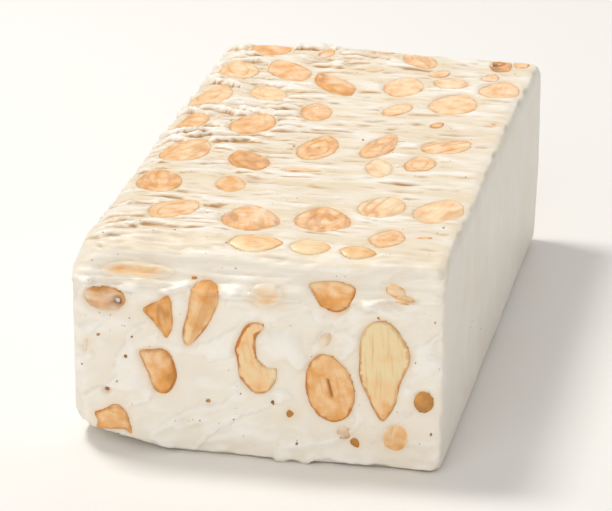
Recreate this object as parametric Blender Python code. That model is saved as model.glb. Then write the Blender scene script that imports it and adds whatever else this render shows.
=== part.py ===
"""A thick bar of almond nougat: one nougat body and the cut almonds that show in its faces.

The bar lies along Y. Its front cut end looks to -Y, its moulded sides to -X and +X, and its sliced top
to +Z. The origin is the middle of the underside. Lengths are in metres.
"""

import math

import bmesh
import bpy
from mathutils import Matrix, Vector, noise

MM = 0.001

# Driving dimensions of the bar.
WIDTH = 94 * MM
LENGTH = 190 * MM
HEIGHT = 55 * MM

# How far the faces wander from flat, and over what distance. Blender starts its vector noise from the
# clock, so the seed holds it to one start and the bar comes out the same each time.
WANDER = 0.7 * MM
WANDER_SPAN = 42 * MM
WANDER_SEED = 1795158574
SIDE_SWELL = 0.3 * MM

# The nougat keeps this gap to each almond, so the solids never touch.
GAP = 0.3 * MM

# Almonds: share of the width that lies under the cut, crown of the cut face, points round the outline.
SUNK_SHARE = 0.36
LEAST_SUNK = 2.2 * MM
CROWN = 0.25 * MM
OUTLINE_POINTS = 12
WAIST = 0.93
FOOT = 0.58
RECESS_RISE = 6 * MM

# Colours of the finished pieces, as linear red, green and blue.
NOUGAT_CREAM = (0.80, 0.75, 0.66)
ALMOND_TAN = (0.68, 0.38, 0.14)

INWARD = {
    "front": Vector((0, 1, 0)),
    "back": Vector((0, -1, 0)),
    "left": Vector((1, 0, 0)),
    "right": Vector((-1, 0, 0)),
    "top": Vector((0, 0, -1)),
    "bottom": Vector((0, 0, 1)),
}

# Edges that are broken or pressed round: the two faces, how far the rounding reaches along each of
# them, and how far it pulls the edge in from each of them, in millimetres.
SHOULDER_DROP = 12
EASED_EDGES = (
    ("front", "top", 12, SHOULDER_DROP, 3.4, 3.6),
    ("back", "top", 7, 6, 1.8, 1.8),
    ("left", "top", 9, 9, 2.4, 2.4),
    ("right", "top", 3, 3, 0.7, 0.7),
    ("left", "front", 5, 5, 1.2, 1.2),
    ("right", "front", 3, 3, 0.5, 0.5),
    ("left", "back", 4, 4, 1.0, 1.0),
    ("right", "back", 4, 4, 1.0, 1.0),
    ("left", "bottom", 3, 3, 0.8, 0.6),
    ("right", "bottom", 3, 3, 0.8, 0.6),
    ("front", "bottom", 3, 4, 0.6, 0.8),
    ("back", "bottom", 3, 4, 0.6, 0.8),
)

# The knocked-off corner at the lower left of the front: three breaks, each a plane through three points,
# in millimetres from that corner along X, Y and Z.
CORNER_BREAKS = (
    ((0, 0, 6.5), (30, 0, 0), (0, 18, 0)),
    ((0, 0, 12), (10, 0, 0), (0, 15, 0)),
    ((0, 0, 24), (4, 0, 7), (0, 5, 9)),
)

# Almonds on the front end: X, height, length, width, turn of the tip from upright towards +X in
# degrees, and the way the almond was cut.
FRONT_ALMONDS = (
    (-38, 39.5, 10.5, 6.5, -86, "slice"),
    (-25, 35.5, 12, 8, 163, "wedge"),
    (-14.5, 37.5, 19, 7.2, 16, "slice"),
    (-24.5, 21, 12.4, 8, -28, "whole"),
    (0, 26.5, 22, 7.4, 0, "crescent"),
    (19, 20.5, 18.2, 12, -14, "slice"),
    (32, 26, 26, 12.2, 183, "whole"),
    (35.5, 9, 8, 7, 10, "slice"),
    (42, 19, 5.6, 5, 0, "slice"),
    (-34.5, 10, 9.5, 8, -60, "wedge"),
    (18.5, 44.5, 13, 9.6, 100, "wedge"),
    (3, 43.5, 9.5, 6.5, 82, "slice"),
    (-30, 48.5, 19, 5.4, 88, "slice"),
)

# Almonds on the top: X, Y, length, width, turn of the tip from the bar's length towards +X, and the cut.
TOP_ALMONDS = (
    (-31, 86, 13, 11.5, -4, "slice"),
    (-22, 65, 21, 11.4, -25, "slice"),
    (-7, 53.5, 24, 9.5, -28, "whole"),
    (-6.5, 25, 17.5, 8.7, -6, "slice"),
    (14.5, 32.5, 14, 7, 18, "slice"),
    (12.5, 55.5, 20, 11, 2, "slice"),
    (25, 63, 11.5, 9.5, 8, "slice"),
    (39.5, 60, 20, 11, -1, "whole"),
    (29, 41, 21, 13, 4, "whole"),
    (37, 84.5, 14.5, 7.6, -21, "wedge"),
    (-0.5, -7, 21.5, 10.4, 4, "slice"),
    (15.5, -1.5, 22, 7.8, 12, "whole"),
    (18, -21, 16.5, 7, -9, "slice"),
    (33, 2, 15.5, 12, 37, "slice"),
    (29, -16, 16, 10, -12, "wedge"),
    (-16.5, -22, 18, 10.4, -25, "slice"),
    (-17, -43, 12.6, 7.8, -10, "slice"),
    (-7, -70, 20.5, 14.5, -9, "whole"),
    (11.5, -67, 19, 14.2, -6, "slice"),
    (24.5, -53, 17.5, 11.6, 12, "slice"),
    (39, -53, 20, 12.2, 12, "slice"),
    (30, -77.5, 14, 8.6, 8, "slice"),
    (-2, -87.5, 13, 7.2, 86, "slice"),
    (12, -87.5, 10, 6.2, 88, "slice"),
    (24, -88.5, 9, 5, 92, "slice"),
    (-36, 63, 18, 11, -16, "slice"),
    (-38, 36, 20, 11, 12, "whole"),
    (-23, 40, 15, 10, -24, "slice"),
    (-21, 10, 19, 12, 10, "slice"),
    (-37, 9, 17, 10, -8, "wedge"),
    (-34, -17, 20, 12, 18, "whole"),
    (-35.5, -45, 18, 12, -12, "slice"),
    (-27, -67, 18, 11, 22, "slice"),
    (13, 83, 15, 9, -30, "slice"),
)

# Almonds on the back end, as on the front.
BACK_ALMONDS = (
    (-35, 35, 21, 11, 20, "slice"),
    (-18, 19, 18, 11, -15, "whole"),
    (-36, 13, 14, 9, 70, "slice"),
    (-11, 39, 15, 8, 55, "wedge"),
    (4, 25, 24, 11, -8, "slice"),
    (20, 37, 18, 11, 30, "slice"),
    (19, 12, 15, 10, 80, "slice"),
    (36, 28, 21, 11, -12, "whole"),
    (37, 9, 11, 8, 45, "wedge"),
    (-5, 8, 12, 7, -70, "slice"),
    (38, 46, 9, 6, 80, "slice"),
)

# How each cut looks: taper towards one end, bend of the long axis in turns of a circle, straight
# broken sides as (direction in degrees, share of the half-length kept), and how far it stands proud.
CUTS = {
    "slice": {"taper": 0.10, "bend": 0.0, "breaks": (), "proud": 0.0},
    "whole": {"taper": 0.26, "bend": 0.0, "breaks": (), "proud": 0.5 * MM},
    "wedge": {"taper": 0.34, "bend": 0.0, "breaks": ((-90, 0.62), (-20, 0.42)), "proud": 0.0},
    "crescent": {"taper": 0.16, "bend": 0.44, "breaks": (), "proud": 0.0},
}

# Where the block's surface has rows of points, as distances in from the faces in millimetres.
ROWS_FROM_END = (3, 7, 12, 50)
ROWS_FROM_SIDE = (3, 9, 27)
ROW_HEIGHTS = (4, 22, HEIGHT / MM - SHOULDER_DROP, 49, 52)


def principled(name, colour, roughness):
    """A Principled material of one colour."""
    material = bpy.data.materials.new(name)
    material.use_nodes = True
    shader = material.node_tree.nodes["Principled BSDF"]
    shader.inputs["Base Color"].default_value = (*colour, 1)
    shader.inputs["Roughness"].default_value = roughness
    material.diffuse_color = (*colour, 1)
    return material


def depth_under(point, side):
    """How far a point of the plain block lies in from one of its six sides."""
    return {
        "front": point.y + LENGTH / 2,
        "back": LENGTH / 2 - point.y,
        "left": point.x + WIDTH / 2,
        "right": WIDTH / 2 - point.x,
        "top": HEIGHT - point.z,
        "bottom": point.z,
    }[side]


def shaped(point):
    """Moves a point of the plain block to where it is on the real, pressed and uneven bar."""
    moved = point.copy()
    for side_a, side_b, reach_a, reach_b, pull_a, pull_b in EASED_EDGES:
        share_a = max(0.0, 1 - depth_under(point, side_b) / (reach_b * MM))
        share_b = max(0.0, 1 - depth_under(point, side_a) / (reach_a * MM))
        moved += INWARD[side_a] * (pull_a * MM * share_a * share_b)
        moved += INWARD[side_b] * (pull_b * MM * share_a * share_b**1.6)
    lift = min(1.0, point.z / (HEIGHT / 4))
    drift = noise.noise_vector(point / WANDER_SPAN) * WANDER
    drift.z *= lift
    swell = SIDE_SWELL * math.sin(math.pi * point.z / HEIGHT) * point.x / (WIDTH / 2)
    return moved + drift + Vector((swell, 0, 0))


def face_point(face, a, b):
    """The point of the plain block at (a, b) on a face: X and height on an end, X and Y on the top."""
    return {
        "front": Vector((a, -LENGTH / 2, b)),
        "back": Vector((-a, LENGTH / 2, b)),
        "top": Vector((a, b, HEIGHT)),
    }[face]


def face_frame(face, a, b, turn):
    """Places an almond at (a, b) on a face: its Z looks out of the nougat, its Y runs along the almond."""
    step = 1 * MM
    centre = shaped(face_point(face, a, b))
    across = shaped(face_point(face, a + step, b)) - shaped(face_point(face, a - step, b))
    upward = shaped(face_point(face, a, b + step)) - shaped(face_point(face, a, b - step))
    outward = across.cross(upward).normalized()
    upward = outward.cross(across).normalized()
    axes = Matrix((outward.cross(upward) * -1, upward, outward)).transposed()
    return Matrix.Translation(centre) @ axes.to_4x4() @ Matrix.Rotation(-turn, 4, "Z")


def row_planes():
    """The planes that cut the plain block's surface into rows, each as (point, normal)."""
    for inset in ROWS_FROM_END:
        for end in (-1, 1):
            yield Vector((0, end * (LENGTH / 2 - inset * MM), 0)), Vector((0, 1, 0))
    yield Vector((0, 0, 0)), Vector((0, 1, 0))
    for inset in ROWS_FROM_SIDE:
        for side in (-1, 1):
            yield Vector((side * (WIDTH / 2 - inset * MM), 0, 0)), Vector((1, 0, 0))
    yield Vector((0, 0, 0)), Vector((1, 0, 0))
    for height in ROW_HEIGHTS:
        yield Vector((0, 0, height * MM)), Vector((0, 0, 1))


def uneven_block():
    """The whole bar before its corner breaks off and before the almonds are let in."""
    block = bmesh.new()
    bmesh.ops.create_cube(block, size=1)
    size = Matrix.Diagonal((WIDTH, LENGTH, HEIGHT, 1))
    bmesh.ops.transform(block, matrix=Matrix.Translation((0, 0, HEIGHT / 2)) @ size, verts=block.verts)
    for point, normal in row_planes():
        everything = block.verts[:] + block.edges[:] + block.faces[:]
        bmesh.ops.bisect_plane(block, geom=everything, plane_co=point, plane_no=normal)
    for vert in block.verts:
        vert.co = shaped(vert.co)
    bmesh.ops.triangulate(block, faces=block.faces)
    return block


def break_corner(block):
    """Knocks the lower left corner off the front end, one flat break after the other."""
    corner = Vector((-WIDTH / 2, -LENGTH / 2, 0))
    for points in CORNER_BREAKS:
        a, b, c = (corner + Vector(p) * MM for p in points)
        normal = (c - a).cross(b - a).normalized()
        everything = block.verts[:] + block.edges[:] + block.faces[:]
        cut = bmesh.ops.bisect_plane(
            block, geom=everything, plane_co=a, plane_no=normal, clear_outer=True
        )
        rim = [part for part in cut["geom_cut"] if isinstance(part, bmesh.types.BMEdge)]
        bmesh.ops.triangle_fill(block, edges=rim, use_beauty=True)
    bmesh.ops.recalc_face_normals(block, faces=block.faces)


def bent(point, bend, length):
    """Bends an upright outline into an arc that takes up the given share of a circle."""
    if not bend:
        return point
    radius = length / (bend * math.tau)
    angle = point.y / radius
    return Vector(
        ((radius - point.x) * -math.cos(angle) + radius * 0.72, (radius - point.x) * math.sin(angle))
    )


def almond_outline(length, width, cut):
    """Points round an almond as the knife left it, anticlockwise, with its tip towards +Y."""
    points = []
    for i in range(OUTLINE_POINTS):
        angle = math.tau * i / OUTLINE_POINTS
        narrowing = 1 - cut["taper"] * math.sin(angle)
        point = Vector((width / 2 * math.cos(angle) * narrowing, length / 2 * math.sin(angle)))
        for direction, kept in cut["breaks"]:
            way = Vector((math.cos(math.radians(direction)), math.sin(math.radians(direction))))
            past = point.dot(way) - kept * (length / 2 * abs(way.y) + width / 2 * abs(way.x))
            point -= way * max(0.0, past)
        points.append(bent(point, cut["bend"], length))
    return points


def grown(outline, distance):
    """The same outline, moved outwards by a distance."""
    moved = []
    for i, point in enumerate(outline):
        before = (point - outline[i - 1]).normalized()
        after = (outline[(i + 1) % len(outline)] - point).normalized()
        way = Vector((before.y + after.y, -before.x - after.x))
        way /= max(0.35, way.length_squared / 2)
        moved.append(point + way * distance)
    return moved


def shrunk(outline, share):
    """The same outline, drawn in towards its middle."""
    middle = sum(outline, Vector((0, 0))) / len(outline)
    return [middle + (point - middle) * share for point in outline]


def lofted(mesh, rings, frame, crown):
    """Adds a closed solid to a bmesh: rings of (outline, height), top first, with a crown on the top."""
    loops = [
        [mesh.verts.new(frame @ Vector((*point, height))) for point in outline]
        for outline, height in rings
    ]
    count = len(loops[0])
    for upper, lower in zip(loops, loops[1:]):
        for i in range(count):
            j = (i + 1) % count
            mesh.faces.new((upper[i], lower[i], lower[j], upper[j]))
    mesh.faces.new(reversed(loops[-1]))
    if crown:
        outline, height = rings[0]
        middle = sum(outline, Vector((0, 0))) / count
        peak = mesh.verts.new(frame @ Vector((*middle, height + crown)))
        for i in range(count):
            mesh.faces.new((loops[0][i], loops[0][(i + 1) % count], peak))
    else:
        mesh.faces.new(loops[0])


def almond_rings(outline, depth, proud):
    """The rings of an almond, from the edge of its cut face down to its hidden foot."""
    return [
        (outline, proud),
        (shrunk(outline, WAIST), -depth / 2),
        (shrunk(outline, FOOT), -depth),
    ]


def recess_rings(outline, depth, proud):
    """The rings of the hollow that an almond sits in, a gap wider all round, and open at the top."""
    rings = [(grown(outline, GAP), RECESS_RISE), (grown(outline, GAP), proud)]
    for ring, height in almond_rings(outline, depth, proud)[1:]:
        rings.append((grown(ring, GAP), height - GAP))
    return rings


def new_object(name, mesh, material):
    """Turns a bmesh into a named object with one material."""
    data = bpy.data.meshes.new(name)
    mesh.to_mesh(data)
    mesh.free()
    data.materials.append(material)
    thing = bpy.data.objects.new(name, data)
    bpy.context.scene.collection.objects.link(thing)
    return thing


def add_almonds(face, rows, recesses, material):
    """Makes the almonds of one face as separate pieces, and adds their hollows to the recesses."""
    for number, (a, b, length, width, turn, cut_name) in enumerate(rows, start=1):
        cut = CUTS[cut_name]
        outline = almond_outline(length * MM, width * MM, cut)
        depth = max(LEAST_SUNK, SUNK_SHARE * width * MM)
        frame = face_frame(face, a * MM, b * MM, math.radians(turn))
        crown = CROWN if cut_name != "crescent" else 0.0
        almond = bmesh.new()
        lofted(almond, almond_rings(outline, depth, cut["proud"]), frame, crown)
        new_object(f"{face}_almond_{number:02d}", almond, material)
        lofted(recesses, recess_rings(outline, depth, cut["proud"]), frame, 0.0)


def let_in(nougat, recesses):
    """Cuts the almonds' hollows out of the nougat."""
    recesses.hide_render = True
    recesses.display_type = "WIRE"
    cut = nougat.modifiers.new("almond hollows", "BOOLEAN")
    cut.operation = "DIFFERENCE"
    cut.solver = "EXACT"
    cut.object = recesses


def build():
    for thing in list(bpy.data.objects):
        bpy.data.objects.remove(thing)
    noise.seed_set(WANDER_SEED)

    nougat_cream = principled("whipped nougat", NOUGAT_CREAM, 0.55)
    almond_tan = principled("cut roasted almond", ALMOND_TAN, 0.5)

    block = uneven_block()
    break_corner(block)
    nougat = new_object("nougat", block, nougat_cream)

    recesses = bmesh.new()
    add_almonds("front", FRONT_ALMONDS, recesses, almond_tan)
    add_almonds("top", TOP_ALMONDS, recesses, almond_tan)
    add_almonds("back", BACK_ALMONDS, recesses, almond_tan)
    let_in(nougat, new_object("almond hollows", recesses, nougat_cream))


build()
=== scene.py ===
"""An almond nougat bar, finished: dragged top, broken shoulder, cut almonds, flakes and brown specks.

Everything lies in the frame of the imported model. The bar lies along Y, its front cut end looks to -Y,
its moulded sides to -X and +X, and its sliced top to +Z. Lengths are in metres, or in mm times MM.
"""

import math
import random

import bmesh
import bpy
import numpy as np
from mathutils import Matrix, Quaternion, Vector, geometry, noise


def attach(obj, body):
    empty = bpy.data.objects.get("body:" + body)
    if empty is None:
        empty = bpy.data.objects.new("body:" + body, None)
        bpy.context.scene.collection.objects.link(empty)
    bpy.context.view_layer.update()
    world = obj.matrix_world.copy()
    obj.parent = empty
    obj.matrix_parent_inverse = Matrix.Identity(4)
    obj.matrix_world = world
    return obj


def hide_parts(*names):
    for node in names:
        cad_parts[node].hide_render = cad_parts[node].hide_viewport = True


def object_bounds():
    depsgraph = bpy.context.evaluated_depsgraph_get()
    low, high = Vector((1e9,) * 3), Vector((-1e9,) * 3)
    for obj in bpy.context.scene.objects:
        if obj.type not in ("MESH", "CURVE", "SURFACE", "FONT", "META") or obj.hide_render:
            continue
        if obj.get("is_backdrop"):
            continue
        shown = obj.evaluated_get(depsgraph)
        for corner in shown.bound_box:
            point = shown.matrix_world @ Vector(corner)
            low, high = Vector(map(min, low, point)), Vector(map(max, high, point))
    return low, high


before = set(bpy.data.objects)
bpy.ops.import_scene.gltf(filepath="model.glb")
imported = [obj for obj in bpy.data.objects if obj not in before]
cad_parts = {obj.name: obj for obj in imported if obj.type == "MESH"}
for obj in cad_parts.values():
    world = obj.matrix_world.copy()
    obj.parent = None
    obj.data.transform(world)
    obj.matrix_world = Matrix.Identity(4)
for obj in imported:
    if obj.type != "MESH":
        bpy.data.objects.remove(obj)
CAD_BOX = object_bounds()

MM = 0.001

# The plain block that the bar is shaped from, and how its surface wanders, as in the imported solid.
SIZE = np.array((94, 190, 55)) * MM
LOW = np.array((-SIZE[0] / 2, -SIZE[1] / 2, 0))
HIGH = LOW + SIZE
WANDER = 0.7 * MM
WANDER_SPAN = 42 * MM
WANDER_SEED = 1795158574
SIDE_SWELL = 0.3 * MM
SHOULDER_DROP = 12

# Blender starts its vector noise from the clock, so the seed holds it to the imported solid's start.
noise.seed_set(WANDER_SEED)

# Each face of the block: the axis that it looks along and which way, and the two axes it lies along.
LOOKS_ALONG = {
    "left": (0, -1),
    "right": (0, 1),
    "front": (1, -1),
    "back": (1, 1),
    "bottom": (2, -1),
    "top": (2, 1),
}
FACE_AT = {look: face for face, look in LOOKS_ALONG.items()}
LIES_ALONG = {face: [axis for axis in range(3) if axis != look[0]] for face, look in LOOKS_ALONG.items()}

# Pressed and broken edges: two faces, how far the rounding reaches along each, and how far it pulls
# the edge in from each, in mm.
EASED_EDGES = (
    ("front", "top", 12, SHOULDER_DROP, 3.4, 3.6),
    ("back", "top", 7, 6, 1.8, 1.8),
    ("left", "top", 9, 9, 2.4, 2.4),
    ("right", "top", 3, 3, 0.7, 0.7),
    ("left", "front", 5, 5, 1.2, 1.2),
    ("right", "front", 3, 3, 0.5, 0.5),
    ("left", "back", 4, 4, 1.0, 1.0),
    ("right", "back", 4, 4, 1.0, 1.0),
    ("left", "bottom", 3, 3, 0.8, 0.6),
    ("right", "bottom", 3, 3, 0.8, 0.6),
    ("front", "bottom", 3, 4, 0.6, 0.8),
    ("back", "bottom", 3, 4, 0.6, 0.8),
)

# Three breaks that knock off the lower left corner of the front, each through three points in mm from it.
CORNER_BREAKS = (
    ((0, 0, 6.5), (30, 0, 0), (0, 18, 0)),
    ((0, 0, 12), (10, 0, 0), (0, 15, 0)),
    ((0, 0, 24), (4, 0, 7), (0, 5, 9)),
)

# Spacing of the points that the nougat's skin is made of, and how many of them each face skips.
CELL = 0.6
COUNTS = [4 * round(length / (4 * CELL * MM)) for length in SIZE]
STEPS = {"front": 1, "back": 1, "top": 1, "left": 2, "right": 2, "bottom": 4}

# How the nougat meets an almond, in mm: how far a point may slip to lie on the seam, how deep the
# nougat goes down under the almond, how far from the seam the knife's drags fade out, how deep the
# nougat dips at the seam, how far the almond laps over it, and how deep the rim of a veiled one lies.
SEAM_REACH = 0.5 * CELL
UNDER_ALMOND = 1.2
DRAG_FADE = 1.6
SEAM_DIP = 0.03
SEAM_LAP = 0.12
VEILED_RIM = 0.3

# How far behind a place, in metres, its height is read to tell the foot of a lap from its crest,
# so that the steep wall at the foot gets painted shade.
WALL_STEP = 1.2 * MM

# How uneven an almond's outline is, in mm, how much those of the top narrow to their ends, and how
# much of the rim's darkness the wire left on them.
UNEVEN_RIM = 0.35
TOP_POINTED = 0.3
TOP_RIM = 0.55

# The foot of an almond in steps: share of its half-width that it draws in by, and depth in mm.
ALMOND_FOOT = ((0.10, 0.5), (0.22, 1.2), (0.45, 2.1))

# Flakes at least this wide in mm are let into the top; the others lie under a film of nougat.
LET_IN_FROM = 2.5

# How the knife slanted as it cut the two ends.
FRONT_KNIFE = math.radians(24)
BACK_KNIFE = math.radians(-31)

# Points of an almond's cut face, in mm apart.
RIM_SPACING = 0.5
FACE_SPACING = 0.4

# Smooth raised lumps on the front, where the knife pushed soft nougat up: X, height, half-width,
# half-height and rise, in mm.
PUSHED_LUMPS = (
    (7.2, 31.0, 4.2, 3.6, 1.5),
    (11.5, 27.0, 2.6, 2.2, 0.8),
    (41.5, 30.0, 3.6, 5.0, 0.7),
    (-33.5, 18.0, 4.5, 2.2, 0.8),
    (-38.0, 33.0, 6.0, 3.0, 0.4),
    (-12.0, 19.0, 5.0, 2.0, 0.4),
    (-4.0, 8.0, 9.0, 3.0, 0.4),
    (27.0, 14.0, 3.0, 3.0, -0.4),
    (-6.0, 43.0, 4.0, 2.4, 0.6),
    (11.0, 41.5, 5.0, 1.6, -0.6),
)

# Small pits on the front: X, height, radius and depth, in mm.
FRONT_PITS = (
    (-37.8, 15.8, 1.1, 1.1),
    (-32.9, 24.8, 0.9, 0.5),
    (-11.6, 14.5, 0.9, 0.5),
    (5.2, 15.4, 0.9, 0.5),
    (-20.5, 6.5, 0.8, 0.4),
    (-3.5, 17.5, 0.8, 0.5),
    (30.0, 6.5, 0.7, 0.4),
    (-29.0, 32.5, 0.7, 0.4),
    (-9.0, 26.5, 0.8, 0.4),
)

# What single almonds look like. tone goes from 0, pale cream, over 0.35, peach, and 0.7, golden, to 1,
# brown. lean is how the tone grows along the face's two axes from one end of the almond to the other.
# film is how much nougat is smeared over it, rim how dark its outline is, and rim_side the way, along
# the face's two axes, on which the outline is darker. dome is how far it bulges and rise how far it
# stands out, in mm. rings and furrows are ridges round and along it, slit an opening along its middle,
# all by their depth in mm. buried is how much of it the nougat hides, and dents are hollows as (two
# distances from its middle, radius, depth) in mm.
PLAIN_LOOK = {
    "tone": 0.34,
    "lean": (0, 0),
    "film": 0.10,
    "rim": 1.0,
    "rim_side": (0, 0),
    "dome": 0.18,
    "rise": 0.0,
    "rings": 0.0,
    "furrows": 0.0,
    "slit": 0.0,
    "buried": 0.0,
    "dents": (),
}
ALMOND_LOOKS = {
    "front_almond_01": {"tone": 0.84, "film": 0.40, "furrows": 0.15, "dents": ((3.1, -0.6, 1.4, 1.4),)},
    "front_almond_02": {"tone": 0.60, "lean": (-0.1, 0.0), "furrows": 0.35, "dome": 0.5, "rim": 0.6},
    "front_almond_03": {
        "tone": 0.42, "lean": (-0.05, 0.2), "furrows": 0.15, "rim": 0.7, "rim_side": (-0.4, -0.5),
    },
    # Its lean makes it paler towards the upper left: a painted highlight.
    "front_almond_04": {
        "tone": 0.50, "lean": (0.28, -0.1), "dome": 1.3, "rise": 0.25, "rim_side": (0.4, -0.3),
    },
    "front_almond_05": {
        "tone": 0.22, "lean": (-0.1, 0.0), "rim": 1.5, "rim_side": (-0.7, 0.3), "dome": 0.4,
    },
    "front_almond_06": {"tone": 0.42, "dome": 0.3, "slit": 0.6, "rim": 1.3, "film": 0.0},
    "front_almond_07": {
        "tone": 0.08, "lean": (0.04, -0.30), "dome": 0.8, "rise": 0.2, "film": 0.0, "rim": 0.9,
    },
    "front_almond_08": {"tone": 0.40, "film": -0.35, "buried": 0.75, "rim": 0.0},
    "front_almond_09": {"tone": 0.95, "rim": 0.3, "film": -0.1, "dome": 0.05},
    "front_almond_10": {"tone": 0.46, "dome": 0.5, "rim": 1.5, "rise": 0.2, "rim_side": (-0.3, 0.5)},
    "front_almond_11": {
        "tone": 0.46, "lean": (0.0, -0.28), "dome": 0.5, "rim": 0.7, "rim_side": (0.2, -0.8),
    },
    "front_almond_12": {"tone": 0.36, "lean": (0.0, -0.15), "film": 0.42, "rim": 0.0, "buried": 0.3},
    "front_almond_13": {"tone": 0.28, "film": 0.38, "rim": 0.0, "buried": 0.3},
    "top_almond_01": {"tone": 0.55, "film": 0.0},
    "top_almond_02": {"tone": 0.50, "film": 0.1},
    "top_almond_03": {"tone": 0.55, "furrows": 0.3, "dome": 0.7, "rise": 0.2, "rim": 1.2},
    "top_almond_04": {"tone": 0.50, "rings": 0.12, "rim": 1.0},
    "top_almond_05": {"tone": 0.36, "film": 0.2, "rim": 1.1, "rim_side": (0.6, -0.3)},
    "top_almond_06": {"tone": 0.34, "film": 0.15},
    "top_almond_07": {"tone": 0.38, "film": 0.35},
    "top_almond_08": {"tone": 0.42, "film": 0.0, "rim": 0.7},
    "top_almond_09": {"tone": 0.35, "film": 0.0, "rim": 0.9},
    "top_almond_10": {"tone": 0.86, "film": 0.1, "dents": ((-1.4, 1.0, 2.2, 1.4),)},
    "top_almond_11": {"tone": 0.52, "rings": 0.2, "rim": 1.0},
    "top_almond_12": {"tone": 0.48, "furrows": 0.2, "dome": 0.4, "rim": 1.2},
    "top_almond_13": {"tone": 0.32, "film": 0.35, "rim": 0.7},
    "top_almond_14": {"tone": 0.38, "furrows": 0.2, "film": 0.1},
    "top_almond_15": {"tone": 0.42, "film": 0.2, "rings": 0.15, "rim": 1.4},
    "top_almond_16": {"tone": 0.70, "furrows": 0.2, "dome": 0.4, "rim": 0.9},
    "top_almond_18": {"tone": 0.46, "furrows": 0.3, "dome": 0.6, "rim": 1.1},
    "top_almond_19": {"tone": 0.46, "rings": 0.15, "furrows": 0.2, "rim": 1.3},
    "top_almond_20": {"tone": 0.24, "furrows": 0.2, "film": 0.2, "rim": 0.9},
    "top_almond_21": {"tone": 0.28, "furrows": 0.15, "film": 0.2, "rim": 0.7},
    "top_almond_22": {"tone": 0.42, "rings": 0.12, "rim": 0.9},
    "top_almond_24": {"tone": 0.18, "film": 0.3, "rim": 0.5},
    "top_almond_25": {"tone": 0.34, "film": 0.2, "rim": 0.7},
}

# Broken and knocked almonds of the front, whose outlines are drawn point by point in mm.
DRAWN_OUTLINES = {
    "front_almond_02": (
        (-22, 41.5), (-24.5, 40), (-27, 38.5), (-28.5, 37), (-26, 34.5),
        (-24, 32), (-22.5, 30), (-21, 33.5), (-21, 37.5),
    ),
    "front_almond_03": (
        (-11.5, 47), (-14, 47), (-15.5, 45.5), (-16.5, 42), (-17.5, 37), (-18.5, 32.5),
        (-18, 29.5), (-16.5, 29), (-14, 31.5), (-11.5, 35.5), (-9.5, 40), (-9.5, 44.5),
    ),
    "front_almond_04": (
        (-29.5, 26), (-28.5, 23.5), (-27, 20.5), (-25.5, 17), (-23, 16), (-21, 17.5),
        (-20, 20.5), (-21, 24.5), (-23, 27), (-26.5, 27), (-29, 26.5),
    ),
    "front_almond_05": (
        (0.5, 36), (-2, 35), (-3.5, 32.5), (-5, 29), (-4, 25.5), (-3.5, 21.5), (-1, 18.5), (1.5, 17.5),
        (4, 18.5), (5.5, 20.5), (6, 23), (5.5, 24.5), (3.5, 24.5), (1.5, 26), (0.5, 29), (0.5, 32),
        (2, 34.5), (2, 35.5),
    ),
    "front_almond_07": (
        (32.5, 39), (29, 38.5), (26.5, 35), (26, 29), (26.5, 23), (29, 17.5),
        (31.5, 13.5), (33, 13.5), (35, 18), (36, 22.5), (38, 28), (38, 31.5), (35.5, 36.5),
    ),
    "front_almond_10": (
        (-41, 9.5), (-40, 7), (-40.5, 5.5), (-36.5, 5.5), (-33, 5.5), (-31.5, 4.5),
        (-32, 8), (-33.5, 11), (-35.5, 12), (-38, 11), (-40, 10),
    ),
    "front_almond_11": (
        (24.5, 48.5), (21, 50), (17, 50), (13.5, 48.5), (14, 46.5), (15.5, 43.5),
        (18, 41), (20.5, 40.5), (23, 42), (24.5, 45),
    ),
}

# Small flakes of almond in the nougat: face, place on it, length, width and turn from its first axis in
# degrees, tone and film. Lengths in mm.
FLAKES = (
    ("top", 35, 73, 8, 5, 82, 0.36, 0.3),
    ("top", 20.6, 71.6, 8, 5.6, 70, 0.42, 0.2),
    ("top", 27.6, 20.7, 5.2, 3.2, 70, 0.55, 0.1),
    ("top", 42, 87.5, 8, 4.4, 88, 0.38, 0.2),
    ("top", 38.5, -75, 4.8, 2.2, 10, 0.55, 0.1),
    ("top", -14, 84, 8, 4.6, 80, 0.55, 0.4),
    ("top", -1.3, -28, 10.6, 3.2, 5, 0.45, 0.3),
    ("top", 2.5, 70, 5, 3, 40, 0.3, 0.5),
    ("top", 7, 14, 4, 1.6, -8, 0.6, 0.2),
    ("top", 43, 25, 3.4, 2, 80, 0.4, 0.4),
    ("top", 3, 88, 4.6, 2.6, 15, 0.5, 0.4),
    ("top", 20, 4, 3, 1.5, 0, 0.5, 0.2),
    ("front", 9.6, 12.8, 2.7, 2.7, 0, 0.92, 0.0),
    ("front", 17.8, 33.5, 4.8, 3.4, 60, 0.88, 0.55),
    ("front", -43.2, 27.0, 3.8, 1.8, 75, 0.80, 0.5),
    ("front", 34.6, 48.0, 6.4, 4.2, -35, 0.45, 0.35),
    ("front", 37.0, 45.6, 5.6, 3.4, -8, 0.48, 0.25),
    ("front", 23.0, 8.8, 4.6, 3.8, -40, 0.84, 0.48),
    ("front", 25.6, 6.3, 3.6, 2.9, -50, 1.15, 0.0),
    ("front", -15.8, 47.5, 2.2, 1.6, 0, 0.9, 0.0),
    ("back", 10, 12, 4, 2.6, 30, 0.6, 0.3),
    ("back", -27, 25, 3.6, 2.2, -40, 0.45, 0.4),
    ("back", 28, 45, 5, 2.2, 12, 0.5, 0.3),
    ("back", -42, 30, 2.8, 2.2, 0, 0.9, 0.1),
    ("back", 8, 48, 6, 3, -8, 0.4, 0.5),
)

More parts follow.
